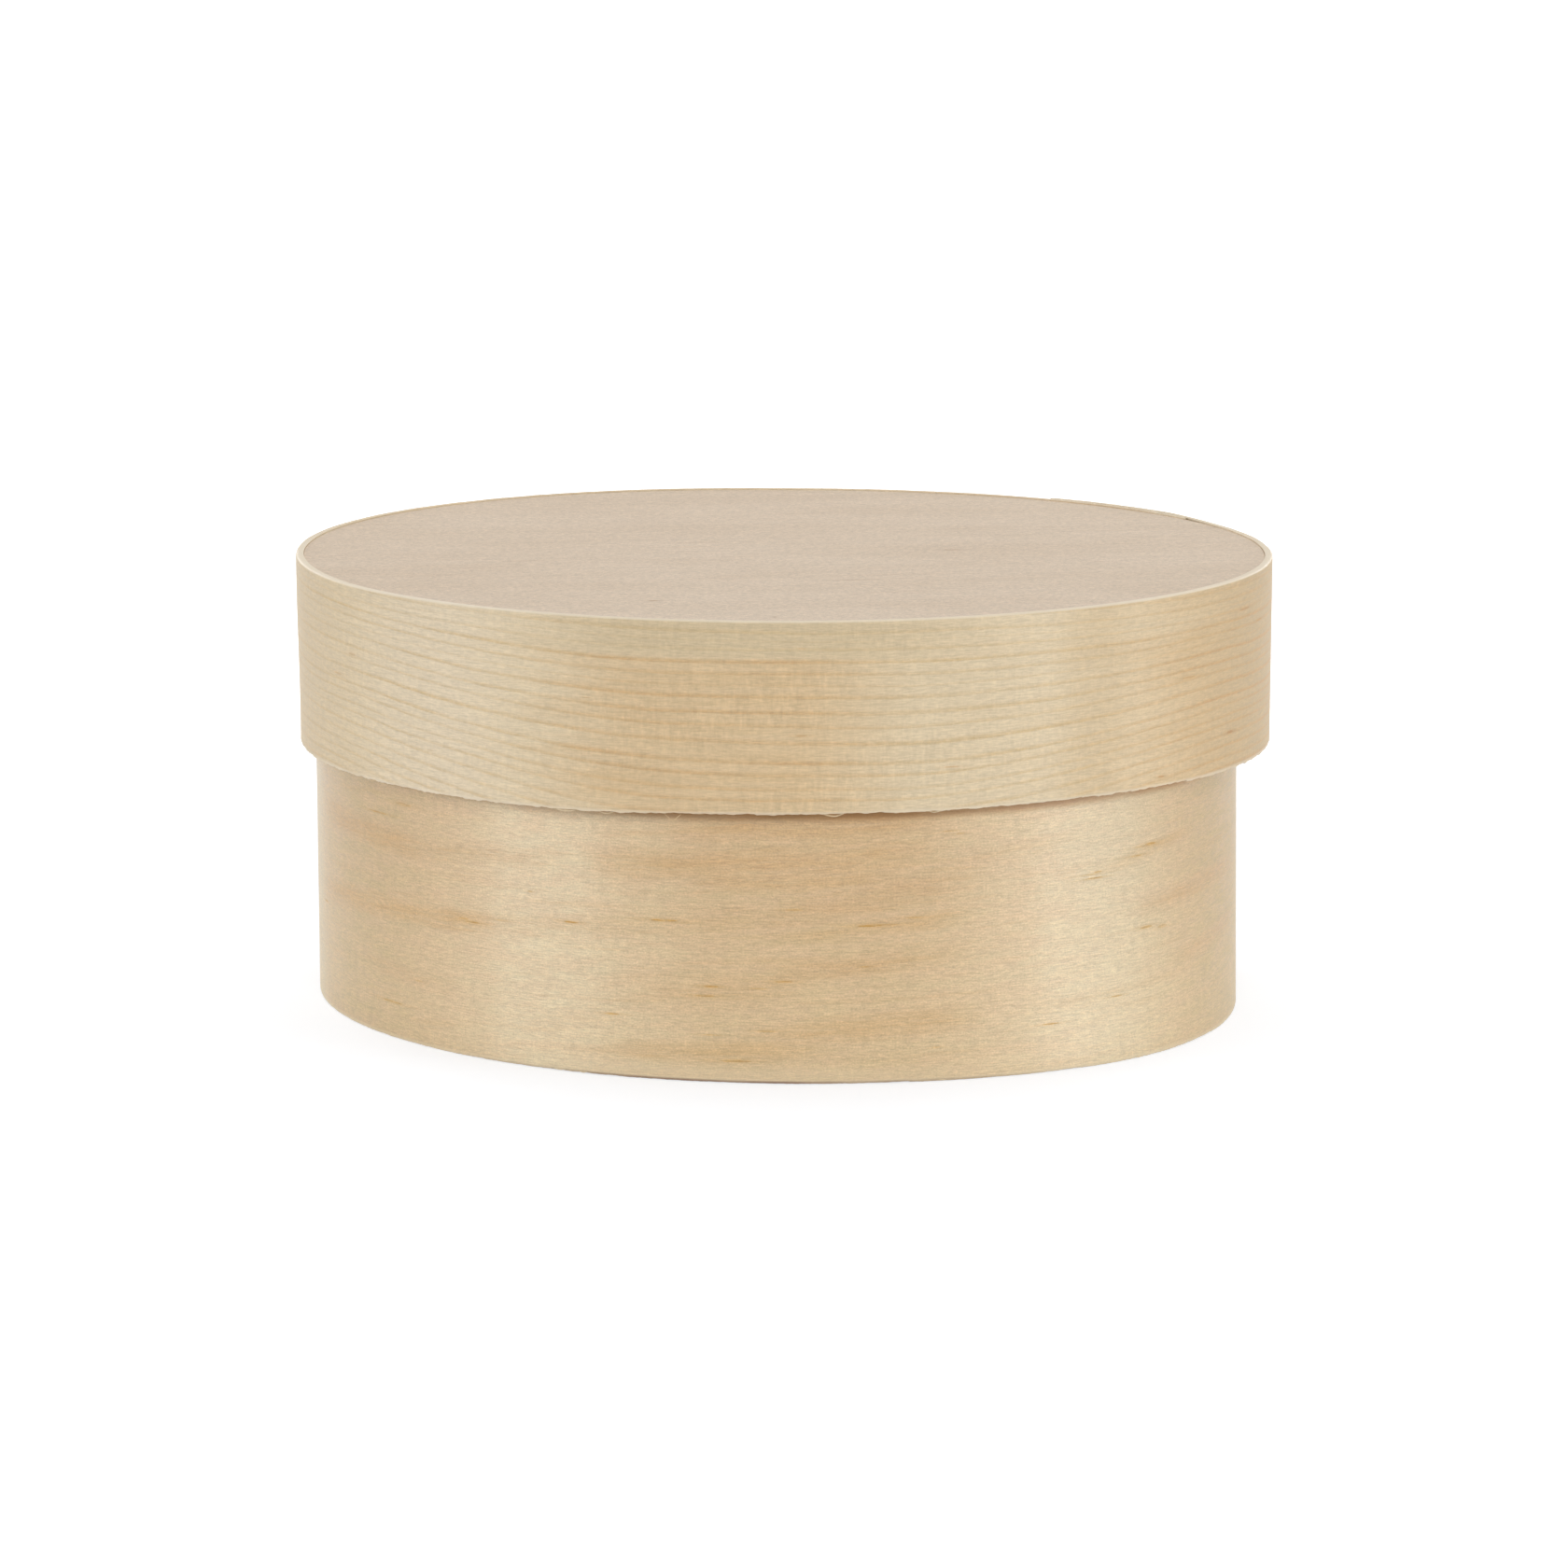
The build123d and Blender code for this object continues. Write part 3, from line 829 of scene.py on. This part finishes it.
    # Painted shade: a dark contact shadow painted along the foot's lower edge, where the floor's shadow
    # falls.
    painted_contact_shadow = tree.remap(up, 0.3, 0.6, 1.0, 0.0)
    painted_contact_shadow = tree.times(painted_contact_shadow, tree.remap(uneven, 0.35, 0.6, 0.5, 0.9))
    painted_contact_shadow = tree.times(painted_contact_shadow, foot_shade_stretch)
    colour = tree.mix(painted_contact_shadow, colour, linear(118, 84, 66))
    # A dark line painted on the body just under the lid's edge: painted shade standing in for the lid's
    # shadow, partly a rub mark; it shows when the lid is off.
    under_lid = (lid_ring.bottom - body_ring.bottom) / MM
    rub_and_painted_shade = tree.remap(up, under_lid - UNDER_LID_SHADE_FADE, under_lid - 0.6, 0.0, 0.8)
    rub_and_painted_shade = tree.times(rub_and_painted_shade, tree.remap(up, under_lid - 0.5, under_lid + 0.6, 1.0, 0.0))
    rub_and_painted_shade = tree.times(rub_and_painted_shade, tree.remap(deep, 0.7, 1.0))
    rub_and_painted_shade = tree.times(rub_and_painted_shade, tree.remap(uneven, 0.3, 0.6, 0.75, 1.0))
    colour = tree.mix(rub_and_painted_shade, colour, linear(157, 106, 36))
    roughness = tree.scaled(fine, 0.2, 0.32)
    height = tree.plus(tree.times(fine, 0.7), tree.times(knife, 0.5))
    height = tree.minus(height, tree.times(marks, 0.3))
    return tree.finish(colour, roughness, height, 0.05 * MM, 0.6)


# Marks of the lid's board: pixel of the photograph, then half its length and half its
# width in millimetres, and its strength
BOARD_MARKS = (
    ((1020, 590), 1.6, 0.4, 0.7), ((700, 643), 0.9, 0.3, 0.9), ((830, 661), 0.3, 0.3, 0.9),
    ((560, 600), 3.0, 0.4, 0.3), ((905, 622), 3.4, 0.35, 0.3),
)


def board_wood(name, pale, dark, streak, marks_seen):
    """Fine-grained board wood, nearly even, with thin faint streaks and small pores."""
    tree = Tree(name)
    point = tree.grain()
    along, across = tree.split(point)[0:2]
    cloud = tree.noise(point, (34, 12, 30), 3.0, 0.5, 4.0)
    colour = tree.mix(tree.remap(cloud, 0.3, 0.7), pale, dark)
    thin_streaks = tree.noise(point, (22, 1.1, 10), 4.0, 0.65, 8.0)
    seen = tree.remap(tree.noise(point, (36, 20, 30), 1.0, 0.5, 19.0), 0.4, 0.65, 0.12, 0.5)
    streaked = tree.times(tree.remap(thin_streaks, 0.5, 0.75), seen)
    colour = tree.mix(streaked, colour, streak)
    pores = scattered_dashes(tree, point, (22, 9, 4), (1.5, 0.2, 1), 0.35)
    pores = tree.times(pores, 0.6)
    if marks_seen:
        for pixel, half_length, half_width, strength in BOARD_MARKS:
            mark = dash(tree, along, across, seen_on_board(pixel), (half_length, half_width))
            pores = tree.most(tree.times(mark, strength), pores)
    colour = tree.mix(pores, colour, linear(160, 126, 94))
    fine = fibres(tree, point)
    speckle = tree.noise(point, (0.5, 0.45, 0.5), 3.0, 0.8, 71.0)
    for value, spread in ((fine, 0.22), (speckle, 0.5), (flecks(tree, point), 0.18)):
        colour = tree.shade(colour, brightness(tree, value, spread))
    roughness = tree.scaled(fine, 0.2, 0.5)
    height = tree.minus(fine, tree.times(pores, 0.6))
    return tree.finish(colour, roughness, height, 0.04 * MM, 0.25)


def wire_steel():
    """Drawn steel wire, with scratches along it and a little dulling."""
    tree = Tree("staple_wire")
    point = tree.grain()
    scratches = tree.noise(point, (3.0, 0.05, 0.05), 3.0, 0.6, 2.0)
    dull = tree.noise(point, (1.5, 0.5, 0.5), 3.0, 0.6, 6.0)
    colour = tree.mix(tree.remap(dull, 0.35, 0.7), linear(198, 196, 190), linear(150, 143, 132))
    colour = tree.shade(colour, brightness(tree, scratches, 0.12))
    tree.shader.inputs["Metallic"].default_value = 1.0
    roughness = tree.scaled(dull, 0.3, 0.18)
    return tree.finish(colour, roughness, scratches, 0.008 * MM, 0.5)


def glue():
    """Dried wood glue, amber and a little glossy."""
    tree = Tree("dried_glue")
    point = tree.grain()
    cloud = tree.noise(point, (6, 1.5, 1.5), 3.0, 0.6, 2.0)
    bubbles = tree.noise(point, (0.5, 0.5, 0.5), 2.0, 0.5, 9.0)
    colour = tree.mix(tree.remap(cloud, 0.3, 0.7), linear(222, 196, 146), linear(196, 158, 98))
    colour = tree.shade(colour, brightness(tree, bubbles, 0.08))
    tree.shader.inputs["Subsurface Weight"].default_value = 0.2
    tree.shader.inputs["Subsurface Radius"].default_value = (0.001, 0.0006, 0.0003)
    roughness = tree.scaled(bubbles, 0.25, 0.15)
    return tree.finish(colour, roughness, bubbles, 0.04 * MM, 0.5)


# Boards, beads and staples


def board_piece(name, ring, shape, grain_angle, edge_gap, material, body, up_bevel):
    """A round board: bevelled on one side, its edge a little uneven inside its ring."""
    low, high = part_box(name)
    radius = ring.inner_radius - GLUE_LINE
    bevel = LID_BOARD_BEVEL if up_bevel else BASE_BOARD_BEVEL
    low_bevel, high_bevel = (SMALL_BEVEL, bevel) if up_bevel else (bevel, SMALL_BEVEL)
    points, faces, grain = [], [], []

    def add_point(r, angle, z):
        spot = shape(r, angle, z)
        points.append(spot)
        x, y = r * math.cos(angle - grain_angle), r * math.sin(angle - grain_angle)
        grain.append((x / MM, y / MM, z / MM))

    add_point(0, 0, low.z)
    add_point(0, 0, high.z)
    count = 2 * BOARD_RINGS + 4
    for column in range(BOARD_COLUMNS):
        angle = FULL_TURN * column / BOARD_COLUMNS
        edge = radius - edge_gap(angle)
        flats = [edge * (1 - (1 - (i + 1) / BOARD_RINGS) ** 1.5) for i in range(BOARD_RINGS)]
        flats[-1] = edge - bevel
        for r in flats:
            add_point(r, angle, low.z)
        add_point(edge, angle, low.z + low_bevel)
        for share in (0.33, 0.67):
            add_point(edge, angle, low.z + (high.z - low.z) * share)
        add_point(edge, angle, high.z - high_bevel)
        for r in reversed(flats):
            add_point(r, angle, high.z)
    for column in range(BOARD_COLUMNS):
        here = 2 + column * count
        there = 2 + (column + 1) % BOARD_COLUMNS * count
        faces.append((0, there, here))
        faces.append((1, here + count - 1, there + count - 1))
        for i in range(count - 1):
            faces.append((here + i, there + i, there + i + 1, here + i + 1))
    return add_piece(name, points, faces, grain, body, material, (name,))


def glue_bead(name, ring, shape, side, body, material, seed):
    """A bead of glue in the corner of a board and its ring, thick and thin in turn."""
    low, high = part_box(name)
    leg = high.z - low.z
    corner_z = low.z if side > 0 else high.z
    radius = ring.inner_radius - GLUE_LINE
    points, faces, grain = [], [], []
    count = BEAD_STEPS + 2
    for column in range(BEAD_COLUMNS):
        angle = FULL_TURN * column / BEAD_COLUMNS
        arc = angle * radius / MM
        turn = Vector((math.cos(angle), math.sin(angle)))
        swell = 0.72 + 0.3 * rough(turn.x * 5, turn.y * 5, seed)
        swell += 0.25 * rough(turn.x * 26, turn.y * 26, seed)
        swell = min(max(swell, 0.3), 1.05)
        profile = [(radius + GLUE_LINE, corner_z)]
        reach = leg * swell
        for step in range(BEAD_STEPS + 1):
            t = math.pi / 2 * step / BEAD_STEPS
            rise = reach * (1 - math.cos(t))
            profile.append((radius - reach * (1 - math.sin(t)), corner_z + side * rise))
        for r, z in profile:
            points.append(shape(r, angle, z))
            grain.append((arc, (z - corner_z) / MM, (radius - r) / MM))
    for column in range(BEAD_COLUMNS):
        here = column * count
        there = (column + 1) % BEAD_COLUMNS * count
        for i in range(count):
            j = (i + 1) % count
            face = (here + i, there + i, there + j, here + j)
            faces.append(face if side < 0 else tuple(reversed(face)))
    return add_piece(name, points, faces, grain, body, material, (name,))


def bent_line(corners, radius, steps=5):
    """A line of straight runs in the plane, with its corners rounded."""
    points = [Vector(corners[0])]
    for before, here, after in zip(corners, corners[1:], corners[2:]):
        before, here, after = Vector(before), Vector(here), Vector(after)
        back = (before - here).normalized()
        on = (after - here).normalized()
        for step in range(steps + 1):
            share = step / steps
            start = here + back * radius
            end = here + on * radius
            points.append(start * (1 - share) ** 2 + here * 2 * share * (1 - share) + end * share**2)
    points.append(Vector(corners[-1]))
    return points


def wire(path, radius, points, faces, grain):
    """Adds a round wire along a path of points, with chisel-cut ends."""
    first = len(points)
    length = 0
    for number, place in enumerate(path):
        before = path[max(0, number - 1)]
        after = path[min(len(path) - 1, number + 1)]
        tangent = (after - before).normalized()
        side = tangent.cross(Vector((0, 0, 1)))
        if side.length < 0.1:
            side = tangent.cross(Vector((1, 0, 0)))
        side.normalize()
        up = tangent.cross(side)
        length += (place - before).length
        end = number in (0, len(path) - 1)
        for i in range(WIRE_SIDES):
            turn = FULL_TURN * i / WIRE_SIDES
            squeeze = 0.35 if end else 1
            offset = side * math.cos(turn) * radius + up * math.sin(turn) * radius * squeeze
            points.append(place + offset)
            grain.append((length / MM, radius * math.cos(turn) / MM, radius * math.sin(turn) / MM))
    rings = len(path)
    for ring in range(rings - 1):
        here = first + ring * WIRE_SIDES
        for i in range(WIRE_SIDES):
            j = (i + 1) % WIRE_SIDES
            faces.append((here + i, here + j, here + WIRE_SIDES + j, here + WIRE_SIDES + i))
    faces.append(tuple(reversed(range(first, first + WIRE_SIDES))))
    faces.append(tuple(range(first + (rings - 1) * WIRE_SIDES, first + rings * WIRE_SIDES)))


def staples(name, ring, shape, shares, body, material):
    """Wire staples through a ring's lap, upright outside and clinched inside."""
    middle = ring.seam_angle + ring.lap / 2
    inside = ring.inner_radius - WIRE_CLEARANCE - WIRE_RADIUS
    outside = ring.inner_radius + LAP_RISE + BAND_THICKNESS + WIRE_CLEARANCE + WIRE_RADIUS
    span = STAPLE_HALF_SPAN
    tip = span - CLINCH_LENGTH
    corners = [
        (inside, -tip), (inside, -span), (outside, -span), (outside, span), (inside, span), (inside, tip),
    ]
    points, faces, grain = [], [], []
    for number, share in enumerate(shares):
        level = ring.bottom + ring.height * share
        path = []
        for radius, height in bent_line(corners, WIRE_RADIUS * 1.6):
            lean = math.radians(0.25) * rough(number * 3.3, height / (4 * MM), ring.seed)
            path.append(shape(radius, middle + lean, level + height))
        wire(path, WIRE_RADIUS, points, faces, grain)
    return add_piece(name, points, faces, grain, body, material, (name,))


# Splinters of the cut edges: pixel of the photograph at their middle, length, width and
# sag in millimetres
LID_SPLINTERS = (
    ((606, 866), 3.4, 0.22, 0.25),
    ((650, 871), 2.2, 0.16, 0.2),
    ((721, 879), 2.6, 0.2, 0.9),
    ((893, 875), 3.0, 0.2, 0.3),
    ((1002, 867), 2.0, 0.14, 0.2),
)
BODY_SPLINTERS = (
    ((497, 1128), 1.6, 0.2, 0.1),
    ((600, 1144), 2.0, 0.16, 0.08),
    ((625, 1147), 1.4, 0.18, 0.1),
    ((1010, 1146), 1.2, 0.14, 0.08),
    ((1220, 1132), 1.4, 0.18, 0.1),
)
SPLINTER_STEPS = 10
SPLINTER_STAND_OFF = 0.06 * MM


def splinters(name, ring, shape, table, body, material):
    """Thin tapered splinters that cling to the foot of a strip's outer face."""
    points, faces, grain = [], [], []
    for number, (pixel, length, width, sag) in enumerate(table):
        middle, _ = seen_on_ring(pixel, ring, shape)
        first = len(points)
        for step in range(SPLINTER_STEPS + 1):
            share = step / SPLINTER_STEPS
            angle = middle + (share - 0.5) * length * MM / ring.outer_radius
            droop = sag * MM * (math.sin(math.pi * share) + 0.3 * rough(share * 3, number * 7.1))
            half = width / 2 * MM * max(0.12, math.sin(math.pi * share)) ** 0.6
            radius = ring.outer_radius + SPLINTER_STAND_OFF + 0.3 * sag * MM * share**2
            z = ring.bottom + 0.3 * MM - droop
            for side, lift in ((-1, 0), (0, -1), (1, 0), (0, 1)):
                points.append(shape(radius + lift * half * 0.5, angle, z + side * half))
                grain.append((along_strip(ring, angle), 0.8 + side * 0.1, lift * 0.1))
        for step in range(SPLINTER_STEPS):
            here = first + step * 4
            for i in range(4):
                j = (i + 1) % 4
                faces.append((here + i, here + j, here + 4 + j, here + 4 + i))
        faces.append(tuple(reversed(range(first, first + 4))))
        last = first + SPLINTER_STEPS * 4
        faces.append(tuple(range(last, last + 4)))
    return add_piece(name, points, faces, grain, body, material)


# Camera, lamps, floor


def make_camera():
    data = bpy.data.cameras.new("camera")
    data.sensor_width = SENSOR
    data.lens = FOCAL_PIXELS / IMAGE_SIDE * SENSOR
    data.clip_start = 0.05
    data.clip_end = 50
    camera = bpy.data.objects.new("camera", data)
    camera.location = CAMERA_PLACE
    pitch = Matrix.Rotation(math.pi / 2 - CAMERA_PITCH, 3, "X")
    camera.rotation_euler = (pitch @ Matrix.Rotation(CAMERA_ROLL, 3, "Z")).to_euler()
    bpy.context.scene.collection.objects.link(camera)
    bpy.context.scene.camera = camera


def softbox(name, azimuth, elevation, distance, width, height, radiance):
    """A large soft lamp that faces the box, with azimuth from the camera's side to the right."""
    data = bpy.data.lights.new(name, "AREA")
    data.shape = "RECTANGLE"
    data.size = width
    data.size_y = height
    data.energy = radiance * width * height * math.pi
    lamp = bpy.data.objects.new(name, data)
    a, e = math.radians(azimuth), math.radians(elevation)
    away = Vector((math.sin(a) * math.cos(e), -math.cos(a) * math.cos(e), math.sin(e)))
    lamp.location = Vector((0, 0, 0.035)) + away * distance
    lamp.rotation_euler = away.to_track_quat("Z", "Y").to_euler()
    bpy.context.scene.collection.objects.link(lamp)


def light_paths(nodes, links):
    """1 for rays that look at or mirror the surroundings, and 0 for the rest."""
    path = nodes.new("ShaderNodeLightPath")
    total = path.outputs["Is Camera Ray"]
    for name in ("Is Glossy Ray", "Is Transmission Ray"):
        node = nodes.new("ShaderNodeMath")
        node.operation = "MAXIMUM"
        links.new(total, node.inputs[0])
        links.new(path.outputs[name], node.inputs[1])
        total = node.outputs[0]
    return total


WORLD_LIGHT = 0.2
FLOOR_GLOW = 0.625
FLOOR_SHOWN = (0.47, 0.488, 0.525, 1)


def make_world():
    """White to the eye and in reflections, and a plain soft light for the rest."""
    world = bpy.data.worlds.new("studio")
    bpy.context.scene.world = world
    world.use_nodes = True
    nodes, links = world.node_tree.nodes, world.node_tree.links
    background = nodes["Background"]
    background.inputs["Color"].default_value = (1, 1, 1, 1)
    strength = nodes.new("ShaderNodeMapRange")
    links.new(light_paths(nodes, links), strength.inputs["Value"])
    strength.inputs["To Min"].default_value = WORLD_LIGHT
    strength.inputs["To Max"].default_value = 1.0
    links.new(strength.outputs[0], background.inputs["Strength"])


def make_floor():
    """A plain white floor that keeps the box's soft shadow and fades to white."""
    bpy.ops.mesh.primitive_plane_add(size=12, location=(0, 0, 0))
    floor = bpy.context.object
    floor.name = "floor"
    tree = Tree("floor_white")
    nodes, links = tree.nodes, tree.links
    seen = light_paths(nodes, links)
    length = tree.add("ShaderNodeVectorMath", operation="LENGTH")
    tree.feed(length.inputs[0], tree.place())
    far = tree.remap(length.outputs["Value"], 0.12, 0.3, FLOOR_GLOW, 1.0)
    paper = tree.noise(tree.vector("MULTIPLY", tree.place(), (40, 40, 40)), (1, 1, 1), 3.0, 0.5, 0.0)
    shown = tree.mix(seen, (0.82, 0.82, 0.82, 1), FLOOR_SHOWN)
    tree.finish(shown, 0.9, paper, 0.02 * MM, 0.1)
    emission = tree.add("ShaderNodeEmission")
    tree.feed(emission.inputs["Strength"], tree.times(far, seen))
    total = tree.add("ShaderNodeAddShader")
    links.new(tree.shader.outputs[0], total.inputs[0])
    links.new(emission.outputs[0], total.inputs[1])
    links.new(total.outputs[0], nodes["Material Output"].inputs["Surface"])
    floor.data.materials.append(tree.material)


# The whole box


def lid_edge_gap(angle):
    """How far the lid's board stands back from its ring, widest at the front left."""
    near_gap = max(0, math.cos(angle - math.radians(197)))
    return 0.16 * MM * near_gap**160 - 0.03 * MM + 0.02 * MM * abs(rough(angle * 7, 2.0))


def base_edge_gap(angle):
    """How far the base board stands back from its ring."""
    return 0.06 * MM * abs(rough(angle * 6, 8.0))


def make_box():
    lid_wood = lid_band_wood()
    body_wood = body_band_wood()
    lid_board = board_wood(
        "lid_board_wood", linear(205, 187, 166), linear(200, 181, 159), linear(182, 156, 128), True,
    )
    base_board = board_wood(
        "base_board_wood", linear(214, 194, 162), linear(203, 178, 143), linear(186, 156, 116), False,
    )
    steel = wire_steel()
    amber = glue()
    lid_rounds = (0.1 * MM, 0.16 * MM, 0.4 * MM, 0.06 * MM)
    body_rounds = (0.1 * MM, 0.25 * MM, 0.15 * MM, 0.12 * MM)
    lid_edges = {"rounds": lid_rounds, "fray_low": 0.55 * MM, "fray_high": 0.06 * MM}
    body_edges = {"rounds": body_rounds, "fray_low": 0.2 * MM, "fray_high": 0.25 * MM}
    strip_piece(lid_ring, lid_shape, lid_edges, "lid", lid_wood)
    strip_piece(body_ring, body_shape, body_edges, "base", body_wood)
    board_piece(
        "lid_top_board", lid_ring, lid_shape, LID_GRAIN_ANGLE, lid_edge_gap,
        lid_board, "lid", True,
    )
    board_piece(
        "base_board", body_ring, body_shape, BASE_GRAIN_ANGLE, base_edge_gap,
        base_board, "base", False,
    )
    glue_bead("lid_glue_bead", lid_ring, lid_shape, -1, "lid", amber, 4.0)
    glue_bead("base_glue_bead", body_ring, body_shape, 1, "base", amber, 9.0)
    staples("lid_seam_staples", lid_ring, lid_shape, LID_STAPLE_SHARES, "lid", steel)
    staples("body_seam_staples", body_ring, body_shape, BODY_STAPLE_SHARES, "base", steel)
    splinters("lid_edge_splinters", lid_ring, lid_shape, LID_SPLINTERS, "lid", lid_wood)
    splinters(
        "body_foot_splinters", body_ring, body_shape, BODY_SPLINTERS, "base", body_wood,
    )


make_camera()
make_world()
make_floor()
softbox("left_softbox", -66, 9, 1.1, 0.46, 0.34, 8.1)
softbox("right_softbox", 66, 9, 1.1, 0.46, 0.34, 9.8)
softbox("front_softbox", 0, 22, 1.4, 0.7, 0.36, 7.2)
softbox("back_left_softbox", -152, 14, 1.3, 0.5, 0.34, 3.6)
softbox("back_right_softbox", 152, 14, 1.3, 0.5, 0.34, 3.6)
softbox("top_softbox", 180, 78, 1.1, 1.0, 0.8, 2.95)
make_box()

bpy.context.scene.view_settings.view_transform = "Standard"
